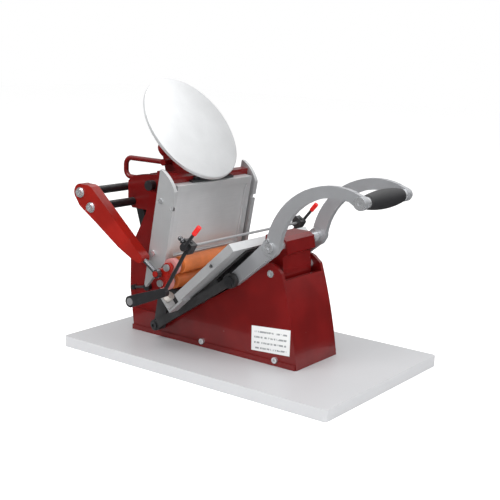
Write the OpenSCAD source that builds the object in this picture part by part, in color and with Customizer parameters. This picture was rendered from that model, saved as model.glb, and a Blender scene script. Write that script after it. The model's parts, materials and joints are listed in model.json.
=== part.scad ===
// Tabletop hand press: rocking platen, fixed bed, ink disc and two rollers.
// Millimetres. +X points to the operator, +Y across the press, +Z up.
// The origin is the middle of the underside of the baseboard.

/* [Baseboard] */
// Length of the board, front to back
board_len = 600; // [520:5:720]
// Width of the board
board_w = 390; // [380:5:480]
// Thickness of the board
board_t = 21; // [18:1:26]
// Corner radius of the board
board_corner_r = 7; // [3:1:20]

/* [Body casting] */
// Width over the two cheeks
body_w = 134; // [112:1:140]
// Thickness of a cheek
cheek_t = 8; // [6:0.1:9.6]
// Thickness of the front wall
front_wall_t = 8; // [6:0.5:12]
// How far the foot flange stands out from a cheek
foot_lip = 2.5; // [1:0.5:3]
// Height of the foot flange
foot_h = 10; // [6:1:12]

/* [Bed and rails] */
// Lean of the bed towards the operator, degrees
bed_lean = 9; // [7:0.5:11]
// Clear width between the roller rails
rail_gap = 238; // [236:1:286]
// Thickness of a rail
rail_t = 8; // [6:0.5:8]
// Depth of a rail, front to back
rail_depth = 42; // [40:1:46]
// Height of the type above the bed
type_h = 23.3; // [22:0.1:24]
// Thickness of the bed plate
bed_t = 14; // [10:1:16]

/* [Chase] */
// Outside width of the chase
chase_w = 226; // [210:1:228]
// Outside height of the chase
chase_h = 150; // [140:1:150]
// Thickness of the chase
chase_t = 17; // [14:0.5:17]
// Width of a chase bar
chase_bar = 14; // [10:1:18]

/* [Platen] */
// Width of the platen
platen_w = 244; // [220:1:248]
// Height of the platen
platen_h = 168; // [150:1:170]
// Thickness of the platen plate
platen_t = 16; // [12:1:18]
// Diameter of the rocker shaft
rocker_shaft_d = 14; // [12:1:16]

/* [Handle] */
// Thickness of a handle arm
handle_arm_t = 11; // [8:0.5:11]
// Diameter of the handle shaft
handle_shaft_d = 14; // [12:0.1:16.8]
// Gap between the grip and a handle arm
grip_gap = 11; // [8:0.5:20]
// Diameter of the hub of a handle arm
hub_d = 34; // [30:1:40]
// Largest diameter of the grip
grip_d = 34; // [26:1:38]

/* [Ink disc] */
// Diameter of the ink disc
disc_d = 226; // [200:1:226]
// Thickness of the ink disc
disc_t = 9; // [7:0.5:10]

/* [Rollers] */
// Diameter of an ink roller
roller_d = 32; // [28:0.5:32]
// Length of the rubber on a roller
roller_len = 210; // [190:1:212]
// Diameter of a roller spindle
spindle_d = 8; // [6:0.5:10]
// Diameter of the two cross rods at the back
cross_rod_d = 16; // [12:1:17]

/* [Gripper] */
// Diameter of the gripper cross rod
gripper_rod_d = 5; // [4:0.5:5]
// Gap between a roller arm and a gripper arm
gripper_gap = 11; // [9:0.5:15]

/* [Hidden] */
$fn = 64;
run = 0.05;     // radial clearance of a running fit
loose = 0.4;    // clearance of a sliding fit
side = 0.5;     // side clearance between moving plates
seam = 0.03;    // how far a side's ends sit inside the round it meets

// ---- places in the side view, as [x, z] ----
board_top = board_t;
rocker_at = [-145, board_top + 93];      // platen rocker shaft
tail_at = [-160, board_top + 27];        // lower pins, where the pull rods act
crank_at = [-227, board_top + 70];       // pin of the central crank
handle_at = [97, board_top + 217];       // handle shaft
toggle_at = [18, board_top + 145];       // pins at the lower ends of the handle bars
grip_at = [273, board_top + 317];
ear_at = [92, board_top + 167];
arm_pivot_at = [-267.5, board_top + 251.1];  // roller arm pivot rod
rear_rod_at = [-296, board_top + 276.5];
slide_at = [-107, board_top + 147];      // saddle pin at the end of a slide rod
roller_mid = [-97, board_top + 144.1];   // halfway between the rollers
roller_pitch = 35;
roller_lean = 65.1;
upper_at = roller_mid + roller_pitch / 2 * [cos(roller_lean), sin(roller_lean)];
lower_at = roller_mid - roller_pitch / 2 * [cos(roller_lean), sin(roller_lean)];
bar_at = [-11.4, board_top + 216.4];     // gripper cross rod
disc_at = [-151.3, board_top + 404.9];
lock_at = [-204, board_top + 91];

disc_tilt = 52.8;      // disc spindle from upright
platen_tilt = 47.2;    // platen face from upright, open
platen_foot = [-85, board_top + 107];
bed_origin = [-104, board_top + 169];

// ---- places across the press ----
cheek_out = body_w / 2;
cheek_in = cheek_out - cheek_t;
frame_t = 11;                             // rear frame plates
arm_y = cheek_out + 2;                    // inner face of handle arms and rocker arms
rod_y = arm_y + handle_arm_t + 1.5;       // inner face of the pull rods
rod_t = 9;
rail_out = rail_gap / 2 + rail_t;
saddle_y = rail_out + 4;
saddle_t = 7;
roller_arm_y = saddle_y + 4;
roller_arm_t = 21;
slide_y = roller_arm_y + roller_arm_t / 2;
slide_d = 9;
gripper_arm_t = 10;
gripper_y = roller_arm_y + roller_arm_t + gripper_gap + gripper_arm_t / 2;
grip_len = 2 * (arm_y - grip_gap);

// ---- helpers ----
// Points on the arc through three points, n steps.
function arc3(a, b, c, n) =
  let (d = 2 * (a.x * (b.y - c.y) + b.x * (c.y - a.y) + c.x * (a.y - b.y)),
       ux = (norm(a) ^ 2 * (b.y - c.y) + norm(b) ^ 2 * (c.y - a.y) + norm(c) ^ 2 * (a.y - b.y)) / d,
       uy = (norm(a) ^ 2 * (c.x - b.x) + norm(b) ^ 2 * (a.x - c.x) + norm(c) ^ 2 * (b.x - a.x)) / d,
       r = norm(a - [ux, uy]),
       a0 = atan2(a.y - uy, a.x - ux), a2 = atan2(c.y - uy, c.x - ux),
       turn = (b.x - a.x) * (c.y - a.y) - (b.y - a.y) * (c.x - a.x),
       raw = a2 - a0,
       span = turn > 0 ? (raw < 0 ? raw + 360 : raw) : (raw > 0 ? raw - 360 : raw))
  [for (i = [0:n]) [ux + r * cos(a0 + span * i / n), uy + r * sin(a0 + span * i / n)]];

function reversed(list) = [for (i = [len(list) - 1:-1:0]) list[i]];

// A side-view outline made into a slab from y0 to y1.
module slab(y0, y1) {
  translate([0, y1, 0]) rotate([90, 0, 0]) linear_extrude(y1 - y0) children();
}

// A round bar across the press at a side-view place.
module cross(at, d, y0, y1) {
  translate([at.x, y0, at.y]) rotate([-90, 0, 0]) cylinder(h = y1 - y0, d = d);
}

// A hexagon nut or head across the press.
module cross_hex(at, d, y0, y1) {
  translate([at.x, y0, at.y]) rotate([-90, 0, 0]) cylinder(h = y1 - y0, d = d, $fn = 6);
}

// A flat link: two round ends joined by straight sides, from y0 to y1.
module link(a, ra, b, rb, y0, y1) {
  d = b - a;
  dir = atan2(d.y, d.x);
  half = acos((ra - rb) / norm(d));
  cross(a, 2 * ra, y0, y1);
  cross(b, 2 * rb, y0, y1);
  slab(y0, y1) polygon([
    a + (ra - seam) * [cos(dir + half), sin(dir + half)],
    b + (rb - seam) * [cos(dir + half), sin(dir + half)],
    b + (rb - seam) * [cos(dir - half), sin(dir - half)],
    a + (ra - seam) * [cos(dir - half), sin(dir - half)]
  ]);
}

module both_sides() {
  children();
  mirror([0, 1, 0]) children();
}

// A round bar between two side-view places in the plane at y.
module side_bar(a, b, d, y) {
  v = b - a;
  translate([a.x, y, a.y]) rotate([0, atan2(v.x, v.y), 0]) cylinder(h = norm(v), d = d);
}

// Socket-head bolt across the press: head outside the face at y.
module cross_bolt(at, head_d, head_h, shank_d, shank_len, y) {
  difference() {
    union() {
      cross(at, head_d, y, y + head_h);
      cross(at, shank_d, y - shank_len, y + 0.01);
    }
    cross_hex(at, head_d * 0.55, y + head_h * 0.4, y + head_h + 1);
  }
}

module bed_space() {
  translate([bed_origin.x, 0, bed_origin.y]) rotate([0, bed_lean, 0]) children();
}

module platen_space() {
  translate([platen_foot.x, 0, platen_foot.y]) rotate([0, platen_tilt, 0]) children();
}

module disc_space() {
  translate([disc_at.x, 0, disc_at.y]) rotate([0, disc_tilt, 0]) children();
}

// Everything in front of the back of the bed plate.
module ahead_of_bed() {
  bed_space() translate([-type_h - bed_t, -200, -300]) cube([400, 400, 700]);
}

// ---- base and body ----
module baseboard() {
  inset = board_corner_r;
  color("gainsboro") difference() {
    union() {
      translate([-board_len / 2 + inset, -board_w / 2, 0])
        cube([board_len - 2 * inset, board_w, board_t]);
      translate([-board_len / 2, -board_w / 2 + inset, 0])
        cube([board_len, board_w - 2 * inset, board_t]);
      for (sx = [-1, 1], sy = [-1, 1])
        translate([sx * (board_len / 2 - inset), sy * (board_w / 2 - inset), 0])
          cylinder(h = board_t, r = inset);
    }
    for (x = foot_bar_x, sy = [-1, 1])
      translate([x, sy * foot_bolt_y, board_t - foot_bolt_len]) cylinder(h = board_t, d = 6);
  }
}

body_rear_x = -235;
body_foot_x = 156;
cheek_low = board_top + 44;
ear_top = board_top + 185;
wall_top = board_top + 157;

function cheek_outline() = concat(
  [[body_rear_x, board_top], [body_rear_x, cheek_low]],
  arc3([-150, cheek_low - 2], [2, board_top + 125], [74, ear_top - 5], 14),
  arc3([76, ear_top - 3], [90, ear_top + 1], [105, ear_top - 6], 6),
  arc3([115, wall_top + 14], [142, board_top + 75], [body_foot_x, board_top], 10)
);

function front_inner() =
  arc3([115 - front_wall_t, wall_top + 14], [142 - front_wall_t, board_top + 75],
       [body_foot_x - front_wall_t, board_top - 1], 10);

module body_casting() {
  color([0.55, 0.03, 0.05]) difference() {
    union() {
      slab(-cheek_out, cheek_out) polygon(cheek_outline());
      translate([body_rear_x - foot_lip, -cheek_out - foot_lip, board_top])
        cube([body_foot_x - body_rear_x, body_w + 2 * foot_lip, foot_h]);
    }
    // the hollow between the cheeks, open at the back, the top and the bottom
    slab(-cheek_in, cheek_in) polygon(concat(
      [[body_rear_x - 10, board_top - 1], [body_rear_x - 10, 260], [100, 260]], front_inner()));
    // the front wall is lower than the ears
    translate([96, -cheek_in, wall_top]) cube([46, 2 * cheek_in, 60]);
    both_sides() cross(ear_at, 8, cheek_in - 1, cheek_out + 1);
    both_sides() for (at = cheek_bolt_at) {
      cross(at, 6, cheek_in - 1, cheek_out + 1);
      cross(at, 13, cheek_out, cheek_out + foot_lip + 1);
    }
  }
}

cheek_bolt_at = [[-59, board_top + 11], [110, board_top + 11]];
foot_bar_x = [-59, 110];
foot_bar_w = 24;
foot_bar_h = 20;
foot_bolt_y = 34;
foot_bolt_len = 14;

module foot_bars() {
  color([0.2, 0.2, 0.21]) for (x = foot_bar_x) difference() {
    translate([x - foot_bar_w / 2, -cheek_in, board_top])
      cube([foot_bar_w, 2 * cheek_in, foot_bar_h]);
    for (sy = [-1, 1])
      translate([x, sy * foot_bolt_y, board_top - 1]) cylinder(h = foot_bar_h + 2, d = 6);
    both_sides() cross([x, board_top + 11], 6, cheek_in - 10, cheek_in + 1);
  }
}

module base_bolts() {
  color("silver") {
    both_sides() for (at = cheek_bolt_at)
      cross_bolt(at, 11, 5, 6, cheek_t + 8, cheek_out);
    for (x = foot_bar_x, sy = [-1, 1]) translate([x, sy * foot_bolt_y, board_top + foot_bar_h]) {
      translate([0, 0, -foot_bar_h - foot_bolt_len])
        cylinder(h = foot_bar_h + foot_bolt_len, d = 6);
      cylinder(h = 5, d = 12, $fn = 6);
    }
  }
}

module label_plate() {
  color("white") slab(-cheek_out - 0.6, -cheek_out)
    polygon([[56, 40], [140, 45], [140, 93], [55, 86]]);
}

// ---- rear frame, bracket and bed ----
module rear_frame() {
  outline = [
    [-243, board_top], [-254, board_top + 80], [-254, board_top + 137], [-245, board_top + 179],
    [-216, board_top + 235], [-206, board_top + 279], [-90, board_top + 279],
    [-124, board_top + 114], [-118, board_top]
  ];
  color([0.5, 0.03, 0.05]) difference() {
    union() {
      both_sides() slab(cheek_in - frame_t, cheek_in) {
        difference() {
          polygon(outline);
          polygon([[-160, board_top + 110], [-110, board_top + 110], [-60, 320], [-134, 320]]);
        }
        polygon([[-254, board_top + 137], [-245, board_top + 179], [-216, board_top + 235],
                 [-206, board_top + 279], [-134, board_top + 279], [-160, board_top + 110]]);
        translate(rocker_at) circle(d = rocker_shaft_d + 18);
      }
      // foot tie between the plates
      translate([-225, -cheek_in, board_top]) cube([90, 2 * cheek_in, 8]);
    }
    ahead_of_bed_frame();
    both_sides() cross(rocker_at, rocker_shaft_d + 2 * run, 0, 200);
    cross(lock_at, 8, -cheek_in - 1, -cheek_in + frame_t + 1);
  }
}

// The part of the bed space that the frame plates keep out of, above the rocker shaft.
module ahead_of_bed_frame() {
  intersection() {
    ahead_of_bed();
    translate([-300, -200, rocker_at.y + rocker_shaft_d / 2 + 14]) cube([500, 400, 400]);
  }
}

bracket_out = cheek_in - frame_t - 8;
link_slot = 9;

module pivot_bracket() {
  outline = [
    [-270, board_top + 238], [-281, board_top + 258], [-281, board_top + 291],
    [-266, board_top + 303], [-205, board_top + 311], [-60, board_top + 311],
    [-60, board_top + 238]
  ];
  color([0.42, 0.03, 0.05]) difference() {
    slab(-bracket_out, bracket_out) polygon(outline);
    ahead_of_bed();
    translate([-300, -link_slot, board_top + 200]) cube([80, 2 * link_slot, 130]);
    cross(arm_pivot_at, cross_rod_d + 2 * run, -bracket_out - 1, bracket_out + 1);
    // hollow behind the bed
    translate([-190, -bracket_out + 8, board_top + 240]) cube([40, 2 * bracket_out - 16, 60]);
    cross(knob_at, 8, -bracket_out - 1, -bracket_out + 10);
    side_bar([-264, board_top + 297], [-300, board_top + 297], tube_d, tube_y);
  }
}

knob_at = [-216, board_top + 289];

module bracket_knob() {
  color([0.08, 0.08, 0.08]) {
    cross(knob_at, 8, -bracket_out - 1, -bracket_out + 10);
    cross(knob_at, 20, -bracket_out - 13, -bracket_out);
  }
}

module bed_plate() {
  color([0.5, 0.03, 0.05]) bed_space() difference() {
    translate([-type_h - bed_t, -rail_gap / 2, -40]) cube([bed_t, rail_gap, 190]);
    both_sides() for (h = rail_bolt_h)
      translate([-rail_bolt_u, rail_gap / 2 - 10, h]) rotate([-90, 0, 0]) cylinder(h = 11, d = 6);
  }
}

rail_bolt_h = [5, 106];
rail_bolt_u = type_h + bed_t / 2;

function rail_outline() = concat(
  [[0, -2]], [[0, 127]],
  arc3([-1, 131], [-9, 142], [-rail_depth + 6, 162], 5),
  [[-rail_depth, 163], [-rail_depth, -60]],
  arc3([-rail_depth + 4, -65], [-rail_depth / 2, -37], [0, -4], 8)
);

// Where the gripper rod lies when the platen is shut, as [forward, up the bed].
gripper_swing = 29.7;
rod_reach = bar_at - rocker_at;
rod_shut = rocker_at + [
  rod_reach.x * cos(gripper_swing) - rod_reach.y * sin(gripper_swing),
  rod_reach.x * sin(gripper_swing) + rod_reach.y * cos(gripper_swing)
] - bed_origin;
rod_seat = [
  rod_shut.x * cos(bed_lean) - rod_shut.y * sin(bed_lean),
  rod_shut.x * sin(bed_lean) + rod_shut.y * cos(bed_lean)
];

// Rail outline points are [forward, up the bed]. The notch clears the gripper rod.
module rail(y0) {
  notch = gripper_rod_d + 3;
  bed_space() difference() {
    slab(y0, y0 + rail_t) polygon(rail_outline());
    translate([rod_seat.x - notch / 2, y0 - 1, rod_seat.y - notch / 2]) cube([20, rail_t + 2, notch]);
    for (h = rail_bolt_h)
      translate([-rail_bolt_u, y0 - 1, h]) rotate([-90, 0, 0]) cylinder(h = rail_t + 2, d = 6);
  }
}

module rails() {
  color("silver") {
    rail(-rail_out);
    rail(rail_gap / 2);
  }
}

module rail_bolts() {
  color([0.75, 0.75, 0.77]) both_sides() bed_space() for (h = rail_bolt_h)
    translate([-rail_bolt_u, 0, h]) {
      translate([0, rail_gap / 2 - 9, 0]) rotate([-90, 0, 0]) cylinder(h = 9 + rail_t, d = 6);
      translate([0, rail_out, 0]) rotate([-90, 0, 0]) cylinder(h = 2.5, d = 11, $fn = 6);
    }
}

chase_top = 139;

module chase() {
  color([0.72, 0.72, 0.72]) bed_space() translate([-type_h, 0, chase_top - chase_h]) difference() {
    translate([0, -chase_w / 2, 0]) cube([chase_t, chase_w, chase_h]);
    translate([-1, -chase_w / 2 + chase_bar, chase_bar])
      cube([chase_t + 2, chase_w - 2 * chase_bar, chase_h - 2 * chase_bar]);
  }
}

panel_recess = 5;

module lockup_panel() {
  color([0.66, 0.66, 0.65]) bed_space()
    translate([-type_h, -chase_w / 2 + chase_bar + loose, chase_top - chase_h + chase_bar + loose])
      cube([chase_t - panel_recess, chase_w - 2 * chase_bar - 2 * loose,
            chase_h - 2 * chase_bar - 2 * loose]);
}

module chase_clamp() {
  color([0.1, 0.1, 0.1]) bed_space() {
    translate([-type_h, -62, chase_top]) cube([9, 124, 4]);
    both_sides() translate([-type_h, 34, chase_top + 4]) cube([5, 18, 5]);
  }
}

// ---- ink disc ----
spindle_len = 78;
disc_hub_gap = 14;

module disc_bracket() {
  color([0.42, 0.02, 0.04]) difference() {
    union() {
      disc_space() translate([0, 0, -disc_t - spindle_len]) cylinder(h = spindle_len - disc_hub_gap, d = 36);
      slab(-14, 14) polygon([
        [-205, board_top + 311], [-128, board_top + 311], [-150, board_top + 345],
        [-172, board_top + 372], [-196, board_top + 380], [-216, board_top + 352]
      ]);
      translate([-205, -bracket_out, board_top + 311]) cube([77, 2 * bracket_out, 7]);
    }
    disc_space() translate([0, 0, -disc_t - spindle_len + 8]) cylinder(h = 200, d = 16 + 2 * run);
  }
}

module disc_spindle() {
  color("silver") disc_space() translate([0, 0, -disc_t - spindle_len + 8 + side])
    cylinder(h = spindle_len - 8 - side, d = 16);
}

module ink_disc() {
  edge = 1.5;
  color([0.8, 0.8, 0.8]) disc_space() translate([0, 0, -disc_t]) {
    cylinder(h = disc_t - edge, d = disc_d, $fn = 128);
    translate([0, 0, disc_t - edge]) cylinder(h = edge, d1 = disc_d, d2 = disc_d - 2 * edge, $fn = 128);
  }
}

module ratchet_ring() {
  teeth = 36;
  ring_d = 62;
  color([0.25, 0.25, 0.26]) disc_space() translate([0, 0, -disc_t - 8]) difference() {
    linear_extrude(8) polygon([for (i = [0:teeth - 1], k = [0, 1])
      (k == 0 ? ring_d / 2 : ring_d / 2 - 2.5) *
      [cos(360 / teeth * (i + k * 0.15)), sin(360 / teeth * (i + k * 0.15))]]);
    translate([0, 0, -1]) cylinder(h = 10, d = 16);
  }
}

tube_y = 12 - bracket_out;
tube_x = -284;
tube_bend_r = 14;
tube_d = 10;

module tube_bend(at, from, to) {
  translate([at.x, tube_y, at.y]) rotate([90, 0, 0]) rotate([0, 0, from])
    rotate_extrude(angle = to - from) translate([tube_bend_r, 0]) circle(d = tube_d);
}

module brace_tube() {
  low = board_top + 297;
  high = board_top + 335;
  color([0.6, 0.04, 0.05]) {
    side_bar([-264, low], [tube_x, low], tube_d, tube_y);
    tube_bend([tube_x, low + tube_bend_r], 180, 270);
    side_bar([tube_x - tube_bend_r, low + tube_bend_r], [tube_x - tube_bend_r, high - tube_bend_r],
             tube_d, tube_y);
    tube_bend([tube_x, high - tube_bend_r], 90, 180);
    side_bar([tube_x, high], [-195, high], tube_d, tube_y);
    cross([-195, high], tube_d + 3, tube_y - 7, -14);
  }
}

// ---- handle post and shafts ----
post_half = cheek_in - 14;

module handle_post() {
  outline = [
    [60, board_top + 30], [106, board_top + 30], [104, board_top + 172], [101, board_top + 195],
    [112, board_top + 203], [108, board_top + 225], [98, board_top + 231], [62, board_top + 231]
  ];
  color([0.58, 0.04, 0.05]) difference() {
    slab(-post_half, post_half) polygon(outline);
    cross(handle_at, handle_shaft_d, -post_half - 1, post_half + 1);
    cross(ear_at, 8, -post_half - 1, post_half + 1);
    translate([52, -post_half + 9, board_top - 1]) cube([40, 2 * post_half - 18, 190]);
  }
}

module ear_bolts() {
  color("silver") {
    cross(ear_at, 8, -cheek_out, cheek_out);
    both_sides() cross_bolt(ear_at, 13, 1.6, 8, 1, cheek_out);
    both_sides() difference() {
      cross(ear_at, 16, post_half, cheek_in);
      cross(ear_at, 8, post_half - 1, cheek_in + 1);
    }
  }
}

module handle_shaft() {
  color("silver") {
    cross(handle_at, handle_shaft_d, -arm_y - handle_arm_t - 1, arm_y + handle_arm_t + 1);
    both_sides() cross(handle_at, handle_shaft_d + 4, post_half, arm_y - side);
    both_sides() difference() {
      cross(handle_at, 17, arm_y + handle_arm_t + side, arm_y + handle_arm_t + 4.5);
      cross_hex(handle_at, 8, arm_y + handle_arm_t + 2, arm_y + handle_arm_t + 6);
    }
  }
}

// ---- platen and rocker ----
module platen_plate() {
  color([0.82, 0.82, 0.8]) platen_space() difference() {
    translate([0, -platen_w / 2, 0]) cube([platen_t, platen_w, platen_h]);
    // tommy-bar sockets in the two side edges
    both_sides() translate([platen_t / 2, platen_w / 2 - 14, 108]) rotate([-90, 0, 0])
      cylinder(h = 20, d = 8);
    for (w = screw_w, sy = [-1, 1])
      translate([platen_t - 9, sy * screw_y, w]) rotate([0, 90, 0]) cylinder(h = 12, d = 6);
  }
}

screw_w = [34, 130];
screw_y = 42;
rib_depth = 11;

module platen_rocker() {
  // grid casting on the back of the platen, side arms and tails
  color([0.2, 0.2, 0.21]) difference() {
    union() {
      platen_space() translate([platen_t, 0, 0]) {
        translate([0, -arm_y - handle_arm_t, 8]) cube([4, 2 * (arm_y + handle_arm_t), platen_h - 16]);
        for (w = [8, 78, platen_h - 18]) translate([3, -60, w]) cube([rib_depth, 120, 10]);
        for (y = [-60, -5, 50]) translate([3, y, 8]) cube([rib_depth, 10, platen_h - 18]);
        both_sides() translate([3, arm_y, 8]) cube([16, handle_arm_t, 62]);
      }
      both_sides() {
        link(rocker_at, 15, tail_at, 11, arm_y, arm_y + handle_arm_t);
        slab(arm_y, arm_y + handle_arm_t) polygon([
          rocker_at + [-3, 14.5], [-104, board_top + 98], [-76, board_top + 93.5], [-63, board_top + 97],
          [-50, board_top + 92], [-95, board_top + 70], rocker_at + [6, -13.5]
        ]);
      }
    }
    both_sides() cross(rocker_at, rocker_shaft_d, arm_y - 1, arm_y + handle_arm_t + 1);
    both_sides() cross(tail_at, 9, arm_y - 1, arm_y + handle_arm_t + 1);
    for (w = screw_w, sy = [-1, 1]) platen_space()
      translate([platen_t - 1, sy * screw_y, w]) rotate([0, 90, 0]) cylinder(h = 30, d = 6);
  }
}

module rocker_shaft() {
  reach = gripper_y + gripper_arm_t / 2 + 1;
  color([0.3, 0.3, 0.31]) cross(rocker_at, rocker_shaft_d, -reach, reach);
}

module drive_crank() {
  color([0.2, 0.2, 0.21]) difference() {
    link(rocker_at, 16, crank_at, 10, -20, -8);
    cross(rocker_at, rocker_shaft_d, -21, -7);
    cross(crank_at, 8, -21, -7);
  }
}

module impression_screws() {
  color("silver") for (w = screw_w, sy = [-1, 1]) platen_space()
    translate([platen_t, sy * screw_y, w]) rotate([0, 90, 0]) {
      translate([0, 0, -8]) cylinder(h = 12, d = 6);
      translate([0, 0, 4]) cylinder(h = 5, d = 12, $fn = 6);
    }
}

gauge_y = -110;

module gauge_bracket() {
  color([0.8, 0.8, 0.8]) platen_space() {
    difference() {
      translate([-16, gauge_y - 12, -33]) cube([36, 24, 3]);
      translate([-8, gauge_y, -34]) cylinder(h = 6, d = 6);
    }
    translate([platen_t, gauge_y - 12, -33]) cube([4, 24, 41]);
  }
}

module gauge_knob() {
  color([0.85, 0.83, 0.8]) platen_space() translate([-8, gauge_y, 0]) {
    translate([0, 0, -38]) cylinder(h = 20, d = 6 - 2 * run);
    translate([0, 0, -29.5]) cylinder(h = 11, d = 17);
    translate([0, 0, -37]) cylinder(h = 3.5, d = 10);
  }
}

// ---- handle ----
function handle_outer() = arc3([88, board_top + 225], [150, board_top + 319], [262, board_top + 334], 16);
function handle_inner() = arc3([117, board_top + 225], [150, board_top + 289], [262, board_top + 314], 16);

// the lower bar laps into the inner half of the hub
lap = 5.5;
arm_foot = [102.5, board_top + 222];
arm_foot_d = 30;

module handle_arms() {
  y1 = arm_y + handle_arm_t;
  color([0.78, 0.79, 0.81]) both_sides() difference() {
    union() {
      slab(arm_y, y1) polygon(concat(handle_outer(), reversed(handle_inner())));
      cross(handle_at, hub_d, arm_y, y1);
      cross(arm_foot, arm_foot_d, arm_y, y1);
      cross(grip_at, 24, arm_y, y1);
      slab(arm_y, y1) polygon([[258, board_top + 334.7], grip_at + [4, 11.3],
                               grip_at + [-2, -11.8], [252, board_top + 316.9]]);
    }
    cross(handle_at, handle_shaft_d + 2 * run, arm_y - 1, y1 + 1);
    cross(grip_at, 12, arm_y - 1, y1 + 1);
    cross(arm_screw_at, 5, arm_y - 1, y1 + 1);
    cross(handle_at, hub_d + 2 * loose, arm_y - 1, arm_y + lap);
  }
}

module lower_bars() {
  y1 = arm_y + handle_arm_t;
  color([0.78, 0.79, 0.81]) both_sides() difference() {
    union() {
      link(handle_at, hub_d / 2, toggle_at, 12, arm_y, arm_y + lap);
      link(handle_at, 14, toggle_at, 12, arm_y, y1);
    }
    cross(handle_at, hub_d + 2 * loose, arm_y + lap, y1 + 1);
    cross(arm_foot, arm_foot_d + 2 * loose, arm_y + lap, y1 + 1);
    slab(arm_y + lap, y1 + 1) polygon(concat(handle_outer(), reversed(handle_inner())));
    cross(handle_at, handle_shaft_d + 2 * run, arm_y - 1, y1 + 1);
    cross(toggle_at, 10, arm_y - 1, y1 + 1);
    cross(arm_screw_at, 5, arm_y - 1, y1 + 1);
  }
}

module toggle_pins() {
  color([0.12, 0.12, 0.12]) both_sides() {
    cross(toggle_at, 10, arm_y, rod_y + rod_t + 2);
    cross(toggle_at, 19, rod_y + rod_t + side, rod_y + rod_t + 4);
  }
}

arm_screw_at = handle_at + [-6, 11.5];

module arm_screws() {
  color("silver") both_sides()
    cross_bolt(arm_screw_at, 7, 2, 5, handle_arm_t - 0.5, arm_y + handle_arm_t);
}

module grip_spindle() {
  color([0.8, 0.8, 0.8]) {
    cross(grip_at, 12, -arm_y - handle_arm_t, arm_y + handle_arm_t);
    both_sides() difference() {
      cross(grip_at, 22, arm_y + handle_arm_t, arm_y + handle_arm_t + 3);
      cross_hex(grip_at, 8, arm_y + handle_arm_t + 1, arm_y + handle_arm_t + 4);
    }
    both_sides() difference() {
      cross(grip_at, 20, grip_len / 2 + side, arm_y);
      cross(grip_at, 12, grip_len / 2, arm_y + 1);
    }
  }
}

module grip() {
  half = grip_len / 2;
  end_r = grip_d / 2 - 4.5;
  color([0.07, 0.07, 0.07]) translate([grip_at.x, 0, grip_at.y]) rotate([-90, 0, 0])
    rotate_extrude($fn = 72) polygon(concat(
      [[6 + run, half], [6 + run, -half]],
      arc3([end_r, -half], [grip_d / 2, 0], [end_r, half], 16)));
}

// ---- pull rods ----
module pull_rods() {
  y1 = rod_y + rod_t;
  color([0.22, 0.22, 0.23]) both_sides() difference() {
    union() {
      link(toggle_at, 8, tail_at, 8.5, rod_y, y1);
      cross(toggle_at, 28, rod_y, y1);
      cross(tail_at, 22, rod_y, y1);
    }
    cross(toggle_at, 10 + 2 * run, rod_y - 1, y1 + 1);
    cross(tail_at, 8, rod_y - 1, y1 + 1);
  }
}

module rod_bolts() {
  color([0.12, 0.12, 0.12]) both_sides() cross_bolt(tail_at, 14, 4, 8, rod_t, rod_y + rod_t);
}

// ---- roller arms ----
slide_dir = atan2(slide_at.y - arm_pivot_at.y, slide_at.x - arm_pivot_at.x);
slide_unit = [cos(slide_dir), sin(slide_dir)];
arm_tip = arm_pivot_at + 147 * slide_unit;

module roller_arms() {
  y1 = roller_arm_y + roller_arm_t;
  color([0.65, 0.05, 0.04]) both_sides() difference() {
    union() {
      cross(rear_rod_at, 34, roller_arm_y, y1);
      cross(arm_tip, 17, roller_arm_y, y1);
      slab(roller_arm_y, y1) polygon([
        rear_rod_at + [4, 16.3], [-276, board_top + 292.5], [-268, board_top + 290],
        arm_tip + [5, 6.6], arm_tip + [-3, -7.8], [-162, board_top + 168],
        [-196, board_top + 185], [-249, board_top + 220], [-298, board_top + 251],
        rear_rod_at + [-14, -9]
      ]);
    }
    for (at = [arm_pivot_at, rear_rod_at]) cross(at, cross_rod_d, roller_arm_y - 1, y1 + 1);
    side_bar(arm_pivot_at + 82 * slide_unit, arm_pivot_at + 165 * slide_unit,
             slide_d + 2 * loose, slide_y);
  }
}

module arm_rods() {
  reach = roller_arm_y + roller_arm_t;
  color([0.08, 0.08, 0.08]) for (at = [arm_pivot_at, rear_rod_at])
    cross(at, cross_rod_d, -reach, reach);
}

module arm_bolts() {
  outer = roller_arm_y + roller_arm_t;
  color([0.75, 0.75, 0.76]) both_sides() for (at = [arm_pivot_at, rear_rod_at]) difference() {
    union() {
      cross(at, 20, outer, outer + 1.5);
      cross(at, 15, outer, outer + 6);
    }
    cross_hex(at, 7, outer + 2, outer + 7);
  }
}

module slide_rods() {
  color([0.75, 0.75, 0.76]) both_sides() {
    difference() {
      union() {
        side_bar(arm_pivot_at + 104 * slide_unit, slide_at - 4 * slide_unit, slide_d, slide_y);
        cross(slide_at, 16, slide_y - 4, slide_y + 4);
      }
      cross(slide_at, 7 + 2 * run, slide_y - 5, slide_y + 5);
    }
  }
}

module saddles() {
  y1 = saddle_y + saddle_t;
  color([0.6, 0.05, 0.05]) both_sides() {
    difference() {
      union() {
        link(upper_at, 9, lower_at, 9, saddle_y, y1);
        link(slide_at, 8.5, roller_mid, 8, saddle_y, y1);
      }
      for (at = [upper_at, lower_at]) cross(at, spindle_d + 2 * run, saddle_y - 1, y1 + 1);
    }
    cross(slide_at, 7, saddle_y + 1, slide_y + 5);
    cross(slide_at, 11, slide_y + 4.5, slide_y + 7);
  }
}

module roller(at) {
  color([0.85, 0.33, 0.12]) difference() {
    cross(at, roller_d, -roller_len / 2, roller_len / 2);
    cross(at, spindle_d + 4, -roller_len / 2 - 1, roller_len / 2 + 1);
  }
}

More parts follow.
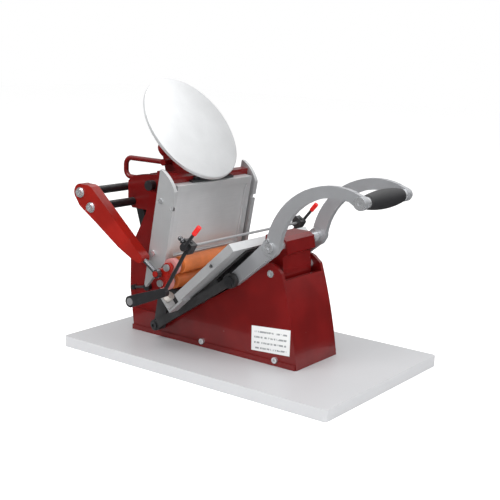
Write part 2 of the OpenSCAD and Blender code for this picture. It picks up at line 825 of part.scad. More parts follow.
module spindle(at) {
  color([0.6, 0.6, 0.62]) {
    cross(at, spindle_d + 4, -roller_len / 2, roller_len / 2);
    cross(at, spindle_d, -saddle_y - saddle_t - 5, saddle_y + saddle_t + 5);
    both_sides() cross(at, spindle_d + 6, roller_len / 2, roller_len / 2 + 4);
    both_sides() cross(at, spindle_d + 5, saddle_y + saddle_t + side, saddle_y + saddle_t + 4);
  }
}

module runners(at) {
  color([0.7, 0.3, 0.35]) both_sides() difference() {
    cross(at, roller_d - 2 * side, rail_gap / 2 - 2, rail_out + 2);
    cross(at, spindle_d, rail_gap / 2 - 3, rail_out + 3);
  }
}

module upper_roller() { roller(upper_at); }
module lower_roller() { roller(lower_at); }
module upper_spindle() { spindle(upper_at); }
module lower_spindle() { spindle(lower_at); }
module upper_runners() { runners(upper_at); }
module lower_runners() { runners(lower_at); }

module drive_link() {
  color([0.15, 0.15, 0.15]) {
    difference() {
      union() {
        cross(rear_rod_at, cross_rod_d + 8, -6, 6);
        link(rear_rod_at, 8, crank_at, 11, -6, 6);
      }
      cross(rear_rod_at, cross_rod_d + 2 * run, -7, 7);
    }
    // the pin stops short of the crank
    cross(crank_at, 8, -7, -5);
    cross_hex(crank_at, 14, 5.9, 10);
  }
}

// ---- gripper frame ----
post_dir = [cos(59.4), sin(59.4)];
elbow_at = bar_at - 108 * post_dir;

module gripper_arms() {
  y0 = gripper_y - gripper_arm_t / 2;
  y1 = gripper_y + gripper_arm_t / 2;
  color([0.1, 0.1, 0.1]) both_sides() difference() {
    link(rocker_at, 11, elbow_at, 8, y0, y1);
    cross(rocker_at, rocker_shaft_d + 2 * run, y0 - 1, y1 + 1);
    side_bar(elbow_at - 4 * post_dir, elbow_at + 12 * post_dir, post_d, gripper_y);
  }
}

post_d = 7;

module gripper_posts() {
  color([0.1, 0.1, 0.1]) both_sides()
    side_bar(elbow_at - 4 * post_dir, bar_at + 12 * post_dir, post_d, gripper_y);
}

rod_inset = 4;   // the cross rod passes beside the posts

module gripper_rod() {
  color([0.6, 0.6, 0.62]) cross(bar_at, gripper_rod_d, -gripper_y + rod_inset, gripper_y - rod_inset);
}

module gripper_blocks() {
  color([0.08, 0.08, 0.08]) both_sides() difference() {
    translate([bar_at.x, gripper_y, bar_at.y]) rotate([0, 30.6, 0]) translate([-10, -8, -10])
      cube([20, 16, 20]);
    side_bar(elbow_at, bar_at + 20 * post_dir, post_d, gripper_y);
    cross(bar_at, gripper_rod_d, gripper_y - 9, gripper_y - rod_inset);
    cross(bar_at, lever_pin_d + 2 * run, gripper_y + 3, gripper_y + 9);
  }
}

module gripper_nuts() {
  color([0.85, 0.85, 0.86]) both_sides()
    translate([bar_at.x, gripper_y, bar_at.y]) rotate([0, -59.4, 0]) {
      translate([0, 0, 10]) cylinder(h = 8, d = 12, $fn = 6);
      translate([0, 0, 17.9]) cylinder(h = 3, d = 8);
      translate([0, 0, 20.8]) cylinder(h = 6, d = 10);
    }
}

lever_dir = [cos(50.6), sin(50.6)];
lever_pin_d = 6;

module clamp_lever() {
  y = gripper_y + 8;
  color([0.08, 0.08, 0.08]) {
    cross(bar_at, lever_pin_d, y - 4, y + 1);
    cross(bar_at, 14, y + side, y + 8);
    side_bar(bar_at + 3 * lever_dir, bar_at + 40 * lever_dir, 6, y + 4.5);
  }
}

module lever_tip() {
  y = gripper_y + 12.5;
  color("red") difference() {
    side_bar(bar_at + 34 * lever_dir, bar_at + 52 * lever_dir, 9, y);
    side_bar(bar_at + 33 * lever_dir, bar_at + 40 * lever_dir, 6, y);
  }
}

module near_clamp_lever() { mirror([0, 1, 0]) clamp_lever(); }
module far_clamp_lever() { clamp_lever(); }
module near_lever_tip() { mirror([0, 1, 0]) lever_tip(); }
module far_lever_tip() { lever_tip(); }

module lock_lever() {
  tip = lock_at + [-36, -7];
  color([0.08, 0.08, 0.08]) {
    cross(lock_at, 8 - 2 * run, -cheek_in - 1, -cheek_in + frame_t);
    cross(lock_at, 15, -cheek_in - 9, -cheek_in - side);
    side_bar(lock_at, tip, 5, -cheek_in - 5);
    cross(tip, 10, -cheek_in - 9, -cheek_in - 1);
  }
}

baseboard();
body_casting();
label_plate();
base_bolts();
foot_bars();
rear_frame();
pivot_bracket();
bracket_knob();
bed_plate();
rails();
rail_bolts();
chase();
lockup_panel();
chase_clamp();
disc_bracket();
disc_spindle();
ink_disc();
ratchet_ring();
brace_tube();
handle_post();
ear_bolts();
handle_shaft();
platen_plate();
platen_rocker();
rocker_shaft();
drive_crank();
impression_screws();
gauge_bracket();
gauge_knob();
handle_arms();
lower_bars();
toggle_pins();
arm_screws();
grip_spindle();
grip();
pull_rods();
rod_bolts();
roller_arms();
arm_rods();
arm_bolts();
slide_rods();
saddles();
upper_roller();
upper_spindle();
upper_runners();
lower_roller();
lower_spindle();
lower_runners();
drive_link();
gripper_arms();
gripper_posts();
gripper_rod();
gripper_blocks();
gripper_nuts();
near_clamp_lever();
near_lever_tip();
far_clamp_lever();
far_lever_tip();
lock_lever();
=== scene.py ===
import json
import math

import bmesh
import bpy
from bpy.props import FloatProperty, FloatVectorProperty, IntProperty, PointerProperty
from bpy.types import Operator, Panel, PropertyGroup
from mathutils import Matrix, Vector


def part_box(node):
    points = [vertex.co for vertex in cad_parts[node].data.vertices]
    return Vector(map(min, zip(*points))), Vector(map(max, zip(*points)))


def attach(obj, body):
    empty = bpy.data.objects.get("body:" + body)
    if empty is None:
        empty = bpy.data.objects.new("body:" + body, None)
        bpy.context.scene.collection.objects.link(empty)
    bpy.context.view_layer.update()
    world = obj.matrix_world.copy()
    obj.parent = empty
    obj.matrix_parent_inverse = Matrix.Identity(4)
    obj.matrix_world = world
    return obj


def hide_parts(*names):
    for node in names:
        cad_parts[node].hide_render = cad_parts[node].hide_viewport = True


bl_info = {
    "name": "Tabletop Hand Press",
    "version": (1, 0, 0),
    "blender": (4, 5, 0),
    "location": "3D View > Sidebar > Hand Press",
    "description": "Finishes and fine pieces for a tabletop hand platen press",
    "category": "Object",
}

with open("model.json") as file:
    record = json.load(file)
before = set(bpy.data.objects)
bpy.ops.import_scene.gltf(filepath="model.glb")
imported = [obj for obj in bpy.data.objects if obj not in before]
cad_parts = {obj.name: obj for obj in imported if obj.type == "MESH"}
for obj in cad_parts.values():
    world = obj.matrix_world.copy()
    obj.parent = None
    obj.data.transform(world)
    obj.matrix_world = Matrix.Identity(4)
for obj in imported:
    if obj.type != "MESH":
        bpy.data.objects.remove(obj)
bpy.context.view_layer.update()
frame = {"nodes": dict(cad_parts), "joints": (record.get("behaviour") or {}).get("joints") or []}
JOINTS = {joint["name"]: joint for joint in frame["joints"]}
MM = 0.001

FLAT_DEG = 0.6      # facets that meet flatter than this are joined before an arris is rounded
ARRIS_DEG = 38      # edges of a CAD node sharper than this are rounded
CREASE_DEG = 34     # edges of turned work sharper than this stay crisp

# A gripper block: how far its axis leans back, half its width, and its middle to the clamp stack's foot.
BLOCK_LEAN_DEG = 59.4
BLOCK_HALF = 8 * MM
STACK_FOOT = 10.02 * MM

CAMERA_DEG = (36.14, 11.80, 2.08)      # azimuth, elevation, roll
CAMERA_PLACE = (1.0812, -1.4865, 0.5914)
CAMERA_LENS = 71.92
CAMERA_SENSOR = 36

LAMP_TARGET = (0, 0, 0.2)
LAMPS = (                              # name, place, size, watts
    ("key", (-0.8, -1.7, 1.9), 1.1, 26),
    ("front fill", (2.3, -0.5, 1.0), 1.2, 14),
    ("top", (0.1, 0.3, 2.4), 1.8, 22),
)


# ---------------------------------------------------------------- shader maths


def plug(tree, socket, value):
    """Links a field to the socket, or sets the socket to a plain value."""
    if isinstance(value, Field):
        tree.links.new(value.socket, socket)
    else:
        socket.default_value = value


class Field:
    """A shader socket that can be added, multiplied and compared in Python."""

    def __init__(self, tree, socket):
        self.tree = tree
        self.socket = socket

    def math(self, operation, *values):
        node = self.tree.nodes.new("ShaderNodeMath")
        node.operation = operation
        for index, value in enumerate(values):
            plug(self.tree, node.inputs[index], value)
        return Field(self.tree, node.outputs[0])

    def __add__(self, other):
        return self.math("ADD", self, other)

    __radd__ = __add__

    def __sub__(self, other):
        return self.math("SUBTRACT", self, other)

    def __rsub__(self, other):
        return self.math("SUBTRACT", other, self)

    def __mul__(self, other):
        return self.math("MULTIPLY", self, other)

    __rmul__ = __mul__

    def __truediv__(self, other):
        return self.math("DIVIDE", self, other)


class Nodes:
    """Adds nodes to a tree."""

    def __init__(self, tree):
        self.tree = tree

    def node(self, kind, settings=None, output=0, **sockets):
        """Adds a node, sets it up first, then fills its sockets by name or identifier."""
        node = self.tree.nodes.new(kind)
        for key, value in (settings or {}).items():
            setattr(node, key, value)
        for key, value in sockets.items():
            socket = next(item for item in node.inputs
                          if key in (item.identifier, item.name.replace(" ", "_")))
            plug(self.tree, socket, value)
        return Field(self.tree, node.outputs[output])


class Finish(Nodes):
    """One material: makes its nodes and fills in its shader."""

    def __init__(self, name):
        self.material = bpy.data.materials.new(name)
        self.material.use_nodes = True
        super().__init__(self.material.node_tree)
        self.shader = self.tree.nodes["Principled BSDF"]

    def place(self, stretch=(1.0, 1.0, 1.0)):
        """The point on the piece, stretched so that a grain can run one way."""
        point = self.node("ShaderNodeTexCoord", output="Object")
        return self.node("ShaderNodeMapping", Vector=point, Scale=stretch)

    def noise(self, scale, detail=3.0, rough=0.55, stretch=(1.0, 1.0, 1.0)):
        return self.node("ShaderNodeTexNoise", Vector=self.place(stretch), Scale=scale,
                         Detail=detail, Roughness=rough)

    def blend(self, factor, first, second):
        """Mixes two colours, given as numbers or fields."""
        return self.node("ShaderNodeMix", {"data_type": "RGBA"}, 2,
                         Factor_Float=factor, A_Color=first, B_Color=second)

    def band(self, value, low, high):
        """0 below low, 1 above high, smooth between."""
        return self.node("ShaderNodeMapRange", {"interpolation_type": "SMOOTHSTEP"},
                         Value=value, From_Min=low, From_Max=high)

    def window(self, value, low, high, soft):
        """1 between low and high, 0 outside, with edges as wide as soft."""
        return self.band(value, low, low + soft) * (1.0 - self.band(value, high - soft, high))

    def feed(self, **sockets):
        """Fills the shader's own sockets by name."""
        for key, value in sockets.items():
            plug(self.tree, self.shader.inputs[key.replace("_", " ")], value)

    def bump(self, height, distance, strength=0.4):
        self.feed(Normal=self.node("ShaderNodeBump", Height=height, Distance=distance, Strength=strength))


def shade(colour, factor):
    """The colour made lighter or darker, with alpha 1."""
    return tuple(min(1.0, channel * factor) for channel in colour[:3]) + (1.0,)


def enamel(name, colour):
    """Poured gloss enamel on a casting: slow colour drift, orange peel, a little dust."""
    finish = Finish(name)
    drift = finish.band(finish.noise(14.0, 2.0), 0.35, 0.7)
    specks = finish.band(finish.noise(900.0, 2.0), 0.66, 0.74)
    body = finish.blend(drift, shade(colour, 0.86), shade(colour, 1.16))
    finish.feed(Base_Color=finish.blend(specks * 0.12, body, shade(colour, 2.2)))
    finish.feed(Roughness=0.2 + 0.1 * finish.noise(60.0, 4.0), Coat_Weight=0.3, Coat_Roughness=0.06)
    finish.feed(Specular_IOR_Level=0.3)
    casting = finish.noise(45.0, 3.0) * 0.7 + finish.noise(420.0, 2.0) * 0.3
    finish.bump(casting, 0.0006, 0.3)
    return finish.material


def black_enamel(name):
    """Semi-gloss black on small steel pieces, rubbed a little grey."""
    finish = Finish(name)
    colour = (0.018, 0.018, 0.02)
    rubbed = finish.band(finish.noise(120.0, 5.0), 0.55, 0.78)
    finish.feed(Base_Color=finish.blend(rubbed * 0.5, shade(colour, 1.0), shade(colour, 3.4)))
    finish.feed(Roughness=0.32 + 0.16 * finish.noise(200.0), Coat_Weight=0.2)
    finish.bump(finish.noise(500.0), 0.0003, 0.25)
    return finish.material


def cast_grey(name, colour):
    """Dark grey paint over a sand casting."""
    finish = Finish(name)
    patches = finish.band(finish.noise(40.0, 4.0), 0.35, 0.7)
    finish.feed(Base_Color=finish.blend(patches, shade(colour, 0.75), shade(colour, 1.35)))
    finish.feed(Roughness=0.42 + 0.2 * finish.noise(150.0))
    finish.bump(finish.noise(260.0, 5.0, 0.65), 0.0007, 0.45)
    return finish.material


def brushed(name, colour, grain, rough=0.3, depth=0.0003):
    """Bare metal with a grain: the stretch is small along the grain."""
    finish = Finish(name)
    lines = finish.noise(700.0, 3.0, 0.6, grain)
    cloud = finish.noise(18.0, 3.0)
    mottled = finish.blend(cloud, shade(colour, 0.86), shade(colour, 1.1))
    finish.feed(Base_Color=finish.blend(lines * 0.35, mottled, shade(colour, 0.72)))
    finish.feed(Metallic=0.6, Roughness=rough - 0.06 + 0.16 * lines + 0.06 * cloud)
    finish.bump(lines, depth, 0.25)
    return finish.material


def satin_casting(name, colour):
    """Tumbled aluminium casting: fine speckle, soft sheen, a few darker pores."""
    finish = Finish(name)
    speckle = finish.noise(1100.0, 2.0)
    pores = finish.band(finish.noise(420.0, 3.0), 0.68, 0.76)
    tone = finish.blend(finish.noise(30.0), shade(colour, 0.92), shade(colour, 1.06))
    finish.feed(Base_Color=finish.blend(pores * 0.4, tone, shade(colour, 0.6)))
    finish.feed(Metallic=0.6, Roughness=0.28 + 0.14 * speckle)
    finish.bump(speckle * 0.6 + finish.noise(60.0) * 0.4, 0.0004, 0.3)
    return finish.material


def plated(name, colour=(0.78, 0.79, 0.81)):
    """Bright plating with faint wipe marks."""
    finish = Finish(name)
    marks = finish.noise(90.0, 4.0)
    finish.feed(Base_Color=finish.blend(marks, shade(colour, 0.9), shade(colour, 1.08)))
    finish.feed(Metallic=0.75, Roughness=0.16 + 0.12 * marks)
    finish.bump(finish.noise(600.0), 0.0001, 0.15)
    return finish.material


def laminate(name, colour):
    """White melamine board: a fine pebble, barely warm cloudiness."""
    finish = Finish(name)
    cloud = finish.noise(6.0, 3.0)
    finish.feed(Base_Color=finish.blend(cloud, shade(colour, 0.965), shade(colour, 1.02)))
    finish.feed(Roughness=0.36 + 0.08 * finish.noise(300.0))
    finish.bump(finish.noise(1400.0, 2.0), 0.0002, 0.3)
    return finish.material


def ruled_card(name, low, high):
    """A pale card ruled with four rows of plain grey dashes."""
    finish = Finish(name)
    point = finish.place()
    across = finish.node("ShaderNodeSeparateXYZ", output="X", Vector=point)
    across = (across - low.x) / (high.x - low.x)
    height = finish.node("ShaderNodeSeparateXYZ", output="Z", Vector=point)
    slope = 0.13            # the rows rise across the card as its edges do
    rows_in_height = 5.2
    up = (height - low.z) / (high.z - low.z) - slope * across
    row = up.math("FRACT", up * rows_in_height)
    rows = finish.window(row, 0.3, 0.7, 0.08)
    margin = finish.window(across, 0.07, 0.93, 0.02) * finish.window(up, 0.06, 0.81, 0.02)
    dashes = finish.band(finish.noise(420.0, 1.0, 0.5, (1.0, 1.0, 0.25)), 0.42, 0.48)
    ink = rows * margin * dashes
    card, grey = (0.84, 0.85, 0.85, 1.0), (0.16, 0.18, 0.19, 1.0)
    finish.feed(Base_Color=finish.blend(ink * 0.8, card, grey))
    finish.feed(Roughness=0.34 + 0.1 * finish.noise(200.0))
    finish.bump(finish.noise(900.0), 0.0001, 0.2)
    return finish.material


def rubber(name, colour):
    """Cast roller rubber, ground round, with a film of use."""
    finish = Finish(name)
    ground = finish.noise(900.0, 2.0, 0.5, (1.0, 0.05, 1.0))
    film = finish.band(finish.noise(22.0, 4.0), 0.35, 0.75)
    finish.feed(Base_Color=finish.blend(film, shade(colour, 0.8), shade(colour, 1.15)))
    finish.feed(Roughness=0.4 + 0.16 * ground)
    finish.bump(ground, 0.0003, 0.25)
    return finish.material


def moulded(name, colour, rough, pebble):
    """Moulded plastic with a fine texture of its own."""
    finish = Finish(name)
    cloud = finish.noise(35.0, 3.0)
    finish.feed(Base_Color=finish.blend(cloud, shade(colour, 0.85), shade(colour, 1.2)))
    finish.feed(Roughness=rough + 0.1 * finish.noise(240.0))
    finish.bump(finish.noise(pebble, 2.0), 0.0003, 0.35)
    return finish.material


# ---------------------------------------------------------------- mesh helpers


def soften(node, width, segments):
    """Rounds the arrises of a CAD node with modifiers, so that its vertices stay."""
    piece = frame["nodes"][node]
    flat = piece.modifiers.new("join flats", "DECIMATE")
    flat.decimate_type = "DISSOLVE"
    flat.angle_limit = math.radians(FLAT_DEG)
    edge = piece.modifiers.new("rounded arris", "BEVEL")
    edge.width = width
    edge.segments = segments
    edge.limit_method = "ANGLE"
    edge.angle_limit = math.radians(ARRIS_DEG)
    edge.harden_normals = True
    for face in piece.data.polygons:
        face.use_smooth = True
    return piece


def dress(material, nodes, width, segments=2):
    """Gives CAD nodes a finish and a small rounded arris."""
    for node in nodes:
        piece = soften(node, width, segments)
        piece.data.materials.clear()
        piece.data.materials.append(material)


def aim(axis):
    """Rotation that turns +Z on to the axis."""
    return Vector((0, 0, 1)).rotation_difference(Vector(axis)).to_matrix().to_4x4()


def lathe(name, profile, places, material, steps):
    """Turned work: profile is a list of (radius, height), places a list of (origin, axis)."""
    mesh = bmesh.new()
    turn = [2 * math.pi * step / steps for step in range(steps)]
    for origin, axis in places:
        put = Matrix.Translation(Vector(origin)) @ aim(axis)
        rings = []
        for radius, height in profile:
            if radius == 0:
                rings.append([mesh.verts.new(put @ Vector((0, 0, height)))])
                continue
            rings.append([mesh.verts.new(put @ Vector((radius * math.cos(a), radius * math.sin(a), height)))
                          for a in turn])
        for low, high in zip(rings, rings[1:]):
            for step in range(steps):
                after = (step + 1) % steps
                corners = [low[step % len(low)], low[after % len(low)],
                           high[after % len(high)], high[step % len(high)]]
                mesh.faces.new(list(dict.fromkeys(corners)))
    bmesh.ops.recalc_face_normals(mesh, faces=mesh.faces)
    data = bpy.data.meshes.new(name)
    mesh.to_mesh(data)
    mesh.free()
    for face in data.polygons:
        face.use_smooth = True
    data.set_sharp_from_angle(angle=math.radians(CREASE_DEG))
    piece = bpy.data.objects.new(name, data)
    bpy.context.scene.collection.objects.link(piece)
    data.materials.append(material)
    return piece


def stand_for(piece, node, body):
    """The piece takes the node's place and body."""
    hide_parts(node)
    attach(piece, body)


def bow(end, middle, half, steps):
    """Profile of a barrel: radius at the ends, radius in the middle, half length."""
    points = []
    for step in range(steps + 1):
        along = -1 + 2 * step / steps
        points.append((end + (middle - end) * (1 - along * along), along * half))
    return points


def span(node):
    """Lowest and highest corner of a CAD node as vectors."""
    low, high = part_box(node)
    return Vector(low), Vector(high)


# ---------------------------------------------------------------- what a user may change


class BoardLook(PropertyGroup):
    colour: FloatVectorProperty(name="Laminate", description="Colour of the baseboard",
                                subtype="COLOR", size=3, default=(0.56, 0.565, 0.58), min=0, max=1)
    arris: FloatProperty(name="Arris", description="Rounding of the board's edges",
                         default=1.2 * MM, min=0.2 * MM, max=4 * MM, unit="LENGTH")


class EnamelLook(PropertyGroup):
    colour: FloatVectorProperty(name="Enamel", description="Colour of the painted castings",
                                subtype="COLOR", size=3, default=(0.16, 0.005, 0.005), min=0, max=1)
    bright: FloatVectorProperty(name="Arm enamel", description="Colour of the roller arms",
                                subtype="COLOR", size=3, default=(0.27, 0.009, 0.005), min=0, max=1)
    arris: FloatProperty(name="Arris", description="Rounding of the castings' edges",
                         default=2.2 * MM, min=0.4 * MM, max=4 * MM, unit="LENGTH")


class MetalLook(PropertyGroup):
    aluminium: FloatVectorProperty(name="Aluminium", description="Colour of the handle castings",
                                   subtype="COLOR", size=3, default=(0.5, 0.51, 0.53), min=0, max=1)
    steel: FloatVectorProperty(name="Steel", description="Colour of the bare machined pieces",
                               subtype="COLOR", size=3, default=(0.62, 0.63, 0.64), min=0, max=1)


class DiscLook(PropertyGroup):
    colour: FloatVectorProperty(name="Disc face", description="Colour of the ground disc",
                                subtype="COLOR", size=3, default=(0.74, 0.75, 0.76), min=0, max=1)
    chamfer: FloatProperty(name="Chamfer", description="Width of the chamfer at the rim",
                           default=1.6 * MM, min=0.4 * MM, max=3 * MM, unit="LENGTH")


class RollerLook(PropertyGroup):
    colour: FloatVectorProperty(name="Rubber", description="Colour of the ink rollers",
                                subtype="COLOR", size=3, default=(0.62, 0.16, 0.035), min=0, max=1)
    chamfer: FloatProperty(name="End chamfer", description="Chamfer at the ends of the rubber",
                           default=0.9 * MM, min=0.2 * MM, max=3 * MM, unit="LENGTH")


class ClampLook(PropertyGroup):
    ring_radius: FloatProperty(name="Ring radius", description="Radius of the rings on a gripper clamp",
                               default=6 * MM, min=4 * MM, max=8 * MM, unit="LENGTH")
    ball_radius: FloatProperty(name="Ball radius", description="Radius of the ball end",
                               default=4.6 * MM, min=3 * MM, max=6 * MM, unit="LENGTH")
    pitch: FloatProperty(name="Pitch", description="Height of one ring",
                         default=3.8 * MM, min=2.5 * MM, max=5 * MM, unit="LENGTH")
    rings: IntProperty(name="Rings", description="Rings in a stack", default=2, min=1, max=4)


class GripLook(PropertyGroup):
    colour: FloatVectorProperty(name="Grip", description="Colour of the handle grip",
                                subtype="COLOR", size=3, default=(0.022, 0.022, 0.024), min=0, max=1)
    lip: FloatProperty(name="End lip", description="Rounding at the ends of the grip",
                       default=1.5 * MM, min=0.3 * MM, max=3 * MM, unit="LENGTH")
    steps: IntProperty(name="Steps", description="Rings along the grip", default=24, min=8, max=64)


# ---------------------------------------------------------------- operators


class PRESS_OT_board(Operator):
    """Finish the baseboard and the ruled label"""

    bl_idname = "press.board"
    bl_label = "Board and label"

    def execute(self, context):
        look = context.scene.press_board
        dress(laminate("white laminate", look.colour), ["baseboard"], look.arris, 3)
        dress(ruled_card("ruled label", *span("label_plate")), ["label_plate"], 0.15 * MM, 1)
        return {"FINISHED"}


class PRESS_OT_castings(Operator):
    """Enamel the body, frames, bed, brackets and brace"""

    bl_idname = "press.castings"
    bl_label = "Painted castings"

    def execute(self, context):
        look = context.scene.press_enamel
        dark = enamel("dark red enamel", look.colour)
        dress(dark, ["body_casting", "handle_post"], look.arris, 4)
        dress(dark, ["rear_frame", "pivot_bracket", "bed_plate", "disc_bracket"], 1.2 * MM, 3)
        dress(dark, ["brace_tube"], 0.4 * MM, 2)
        light = enamel("bright red enamel", look.bright)
        dress(light, ["roller_arms"], 1.4 * look.arris, 4)
        dress(light, ["saddles"], 0.8 * MM, 3)
        grey = cast_grey("grey casting", (0.03, 0.03, 0.031))
        dress(grey, ["platen_rocker", "drive_crank", "foot_bars", "pull_rods"], 0.9 * MM, 2)
        return {"FINISHED"}


class PRESS_OT_bed(Operator):
    """Finish the rails, chase, lock-up panel and platen"""

    bl_idname = "press.bed"
    bl_label = "Bed and platen"

    def execute(self, context):
        look = context.scene.press_metal
        upright = (1.0, 1.0, 0.03)
        across = (1.0, 0.03, 1.0)
        dress(brushed("rail steel", look.steel, upright, 0.36), ["rails"], 0.7 * MM)
        dress(brushed("chase metal", shade(look.steel, 1.1), across, 0.36), ["chase"], 0.6 * MM)
        dress(brushed("panel metal", shade(look.steel, 1.14), across, 0.44), ["lockup_panel"], 0.4 * MM)
        dress(brushed("platen iron", shade(look.steel, 1.12), across, 0.34), ["platen_plate"], 0.8 * MM)
        dress(brushed("gauge steel", look.steel, across, 0.3), ["gauge_bracket"], 0.4 * MM)
        return {"FINISHED"}


class PRESS_OT_handle(Operator):
    """Finish the handle arms and build the grip"""

    bl_idname = "press.handle"
    bl_label = "Handle"

    def execute(self, context):
        look = context.scene.press_metal
        dress(satin_casting("cast aluminium", look.aluminium), ["handle_arms", "lower_bars"], 3.4 * MM, 4)
        grip = context.scene.press_grip
        low, high = span("grip")
        half = (high.y - low.y) / 2
        middle = (high.z - low.z) / 2
        swell = 4.5 * MM
        rim = 4 * MM            # how far the end face runs in from the grip's end
        end = middle - swell
        barrel = bow(end, middle, half - grip.lip, grip.steps)
        profile = [(end - rim, -half), (end - grip.lip, -half)] + barrel
        profile += [(end - grip.lip, half), (end - rim, half)]
        black = moulded("grip rubber", grip.colour, 0.42, 900.0)
        piece = lathe("grip_barrel", profile, [((low + high) / 2, (0, 1, 0))], black, 96)
        stand_for(piece, "grip", "grip")
        return {"FINISHED"}


class PRESS_OT_disc(Operator):
    """Build the ink disc and finish its ratchet"""

    bl_idname = "press.disc"
    bl_label = "Ink disc"

    def execute(self, context):
        look = context.scene.press_disc
        joint = JOINTS["ink_disc_turn"]
        low, high = span("ink_disc")
        radius = (high.y - low.y) / 2
        tilt = math.acos(joint["axis"][2])
        thick = ((high.z - low.z) - 2 * radius * math.sin(tilt)) / math.cos(tilt)
        cut = look.chamfer
        edge = 0.6 * MM
        profile = [(0, -thick), (radius - edge, -thick), (radius, -thick + edge),
                   (radius, -cut), (radius - cut, -edge / 2), (radius - cut - edge, 0), (0, 0)]
        metal = brushed("ground disc", look.colour, (1.0, 1.0, 1.0), 0.44, 0.0001)
        piece = lathe("disc_plate", profile, [(joint["pos_m"], joint["axis"])], metal, 192)
        stand_for(piece, "ink_disc", "ink_disc")
        dress(cast_grey("ratchet iron", (0.09, 0.09, 0.095)), ["ratchet_ring"], 0.3 * MM)
        return {"FINISHED"}


class PRESS_OT_rollers(Operator):
    """Build both ink rollers and finish their runners"""

    bl_idname = "press.rollers"
    bl_label = "Ink rollers"

    def execute(self, context):
        look = context.scene.press_roller
        skin = rubber("roller rubber", look.colour)
        nylon = moulded("runner nylon", (0.5, 0.2, 0.19), 0.45, 700.0)
        core_share = 0.38       # the spindle's share of the roller's radius
        for body in ("upper_roller", "lower_roller"):
            low, high = span(body)
            half = (high.y - low.y) / 2
            radius = (high.z - low.z) / 2
            core = radius * core_share
            cut = look.chamfer
            profile = [(core, -half), (radius - cut, -half), (radius, -half + cut),
                       (radius, half - cut), (radius - cut, half), (core, half)]
            piece = lathe(body + "_rubber", profile, [((low + high) / 2, (0, 1, 0))], skin, 96)
            stand_for(piece, body, body)
        dress(nylon, ["upper_runners", "lower_runners"], 0.7 * MM, 3)
        return {"FINISHED"}


class PRESS_OT_fittings(Operator):
    """Finish shafts, rods, bolts, levers and knobs, and build the clamp stacks"""

    bl_idname = "press.fittings"
    bl_label = "Fittings"

    def execute(self, context):
        bright = plated("bright plate")
        dress(bright, ["base_bolts", "ear_bolts", "arm_screws", "arm_bolts", "rail_bolts",
                       "impression_screws", "grip_spindle", "handle_shaft", "disc_spindle"], 0.35 * MM)
        dark = plated("dark chrome", (0.16, 0.16, 0.17))
        dress(dark, ["slide_rods"], 0.6 * MM, 3)
        self.clamp_stacks(context.scene.press_clamp, dark)
        steel = brushed("shaft steel", (0.42, 0.42, 0.43), (1.0, 0.05, 1.0), 0.3)
        dress(steel, ["gripper_rod", "upper_spindle", "lower_spindle", "rocker_shaft"], 0.3 * MM)
        black = black_enamel("black enamel")
        # chase_clamp is a black bar set in the shade under the ink disc, above the chase top: a painted
        # shadow standing in for that shade
        dress(black, ["arm_rods", "drive_link", "gripper_arms", "gripper_posts", "gripper_blocks",
                      "chase_clamp", "toggle_pins", "rod_bolts", "bracket_knob", "lock_lever",
                      "near_clamp_lever", "far_clamp_lever"], 0.5 * MM)
        dress(moulded("red vinyl", (0.7, 0.012, 0.01), 0.28, 500.0),
              ["near_lever_tip", "far_lever_tip"], 1.6 * MM, 4)
        dress(moulded("pale knob", (0.62, 0.58, 0.54), 0.5, 400.0), ["gauge_knob"], 0.5 * MM)
        return {"FINISHED"}

    def clamp_stacks(self, look, metal):
        """Grooved rings and a ball end on the top face of each gripper block."""
        low, high = span("gripper_blocks")
        middle = (low + high) / 2
        lean = math.radians(BLOCK_LEAN_DEG)
        axis = Vector((-math.sin(lean), 0, math.cos(lean)))
        from_middle = high.y - BLOCK_HALF
        ring = look.ring_radius
        neck = 0.66 * ring
        stem = 0.6 * neck
        edge = 0.4 * MM
        # what a ring loses in radius, and at what height over its foot
        outline = ((edge, edge / 2), (0, 2 * edge),
                   (0, look.pitch - 3.5 * edge), (edge, look.pitch - 2 * edge))
        profile = [(0, 0)]
        for count in range(look.rings):
            foot = count * look.pitch
            profile.append((neck, foot))
            profile += [(ring - loss, foot + rise) for loss, rise in outline]
        top = look.rings * look.pitch
        profile += [(neck, top - edge), (stem, top)]
        ball_steps = 12
        for step in range(1, ball_steps + 1):
            turn = math.pi * step / ball_steps
            radius = look.ball_radius * math.sin(turn)
            height = top + look.ball_radius * (1 - math.cos(turn))
            if radius > stem or step > ball_steps // 2:
                profile.append((radius if step < ball_steps else 0, height))
        places = [(middle + Vector((0, side * from_middle, 0)) + STACK_FOOT * axis, axis)
                  for side in (-1, 1)]
        piece = lathe("clamp_stacks", profile, places, metal, 48)
        stand_for(piece, "gripper_nuts", "gripper")


def area_light(name, place, size, power):
    """Hangs a lamp at the place, facing the press."""
    data = bpy.data.lights.new(name, "AREA")
    data.size = size
    data.energy = power
    lamp = bpy.data.objects.new(name, data)
    lamp.location = place
    lamp.rotation_euler = (Vector(LAMP_TARGET) - Vector(place)).to_track_quat("-Z", "Y").to_euler()
    bpy.context.scene.collection.objects.link(lamp)


def studio_sky(scene):
    """White to the camera, even light on everything, and darker low down in reflections."""
    world = bpy.data.worlds.new("studio")
    scene.world = world
    world.use_nodes = True
    sky = Nodes(world.node_tree)
    seen = sky.node("ShaderNodeLightPath", output="Is Camera Ray")
    gloss = sky.node("ShaderNodeLightPath", output="Is Glossy Ray")
    direction = sky.node("ShaderNodeTexCoord", output="Generated")
    height = sky.node("ShaderNodeSeparateXYZ", output="Z", Vector=direction)
    even = 0.68
    reflected = 0.03 + 1.1 * sky.node("ShaderNodeClamp", Value=height * 1.7 - 0.05)
    strength = seen + (1.0 - seen) * (gloss * reflected + (1.0 - gloss) * even)
    background = sky.tree.nodes["Background"]
    plug(sky.tree, background.inputs["Strength"], strength)
    background.inputs["Color"].default_value = (1, 1, 1, 1)


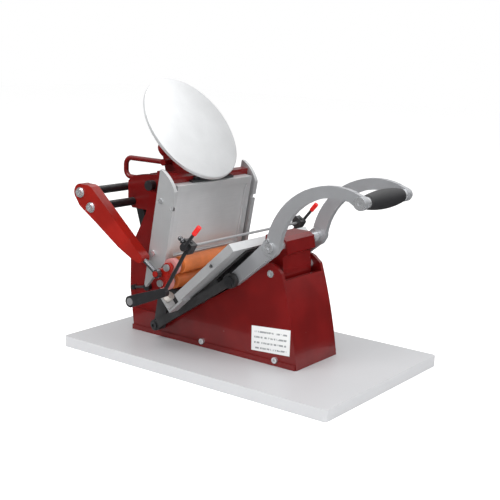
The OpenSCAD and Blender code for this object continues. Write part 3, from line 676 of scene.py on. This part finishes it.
class PRESS_OT_stage(Operator):
    """Lay the pale floor, hang the lights and place the camera"""

    bl_idname = "press.stage"
    bl_label = "Stage"

    def execute(self, context):
        scene = context.scene
        mesh = bmesh.new()
        bmesh.ops.create_grid(mesh, x_segments=4, y_segments=4, size=8)
        data = bpy.data.meshes.new("floor")
        mesh.to_mesh(data)
        mesh.free()
        floor = bpy.data.objects.new("floor", data)
        scene.collection.objects.link(floor)
        paper = Finish("floor paper")
        paper.feed(Base_Color=(0.93, 0.93, 0.93, 1), Roughness=0.8, Specular_IOR_Level=0.0)
        paper.feed(Emission_Color=(1, 1, 1, 1), Emission_Strength=0.36)
        data.materials.append(paper.material)
        floor.visible_glossy = False

        scene.view_settings.view_transform = "Standard"
        studio_sky(scene)
        for lamp in LAMPS:
            area_light(*lamp)

        azimuth, elevation, roll = (math.radians(angle) for angle in CAMERA_DEG)
        back = Vector((math.sin(azimuth) * math.cos(elevation),
                       -math.cos(azimuth) * math.cos(elevation), math.sin(elevation)))
        right = (-back).cross(Vector((0, 0, 1))).normalized()
        up = right.cross(-back)
        turned = math.cos(roll) * right + math.sin(roll) * up
        risen = math.cos(roll) * up - math.sin(roll) * right
        data = bpy.data.cameras.new("view")
        data.lens = CAMERA_LENS
        data.sensor_width = CAMERA_SENSOR
        camera = bpy.data.objects.new("view", data)
        facing = Matrix((turned, risen, back)).transposed().to_4x4()
        camera.matrix_world = Matrix.Translation(CAMERA_PLACE) @ facing
        scene.collection.objects.link(camera)
        scene.camera = camera
        return {"FINISHED"}


# ---------------------------------------------------------------- panel and registration

STEPS = (PRESS_OT_board, PRESS_OT_castings, PRESS_OT_bed, PRESS_OT_handle, PRESS_OT_disc,
         PRESS_OT_rollers, PRESS_OT_fittings, PRESS_OT_stage)
LOOKS = {"press_board": BoardLook, "press_enamel": EnamelLook, "press_metal": MetalLook,
         "press_disc": DiscLook, "press_roller": RollerLook, "press_clamp": ClampLook,
         "press_grip": GripLook}


class PRESS_PT_panel(Panel):
    """Lists the pieces of the press and their settings"""

    bl_idname = "PRESS_PT_panel"
    bl_label = "Hand Press"
    bl_space_type = "VIEW_3D"
    bl_region_type = "UI"
    bl_category = "Hand Press"

    def draw(self, context):
        for name, kind in LOOKS.items():
            box = self.layout.box()
            for field in kind.__annotations__:
                box.prop(getattr(context.scene, name), field)
        for step in STEPS:
            self.layout.operator(step.bl_idname)


def register():
    for kind in (*LOOKS.values(), *STEPS, PRESS_PT_panel):
        bpy.utils.register_class(kind)
    for name, kind in LOOKS.items():
        setattr(bpy.types.Scene, name, PointerProperty(type=kind))


def unregister():
    for name in LOOKS:
        delattr(bpy.types.Scene, name)
    for kind in reversed((*LOOKS.values(), *STEPS, PRESS_PT_panel)):
        bpy.utils.unregister_class(kind)


def main():
    register()
    bpy.ops.press.board()
    bpy.ops.press.castings()
    bpy.ops.press.bed()
    bpy.ops.press.handle()
    bpy.ops.press.disc()
    bpy.ops.press.rollers()
    bpy.ops.press.fittings()
    bpy.ops.press.stage()


if __name__ == "__main__":
    main()
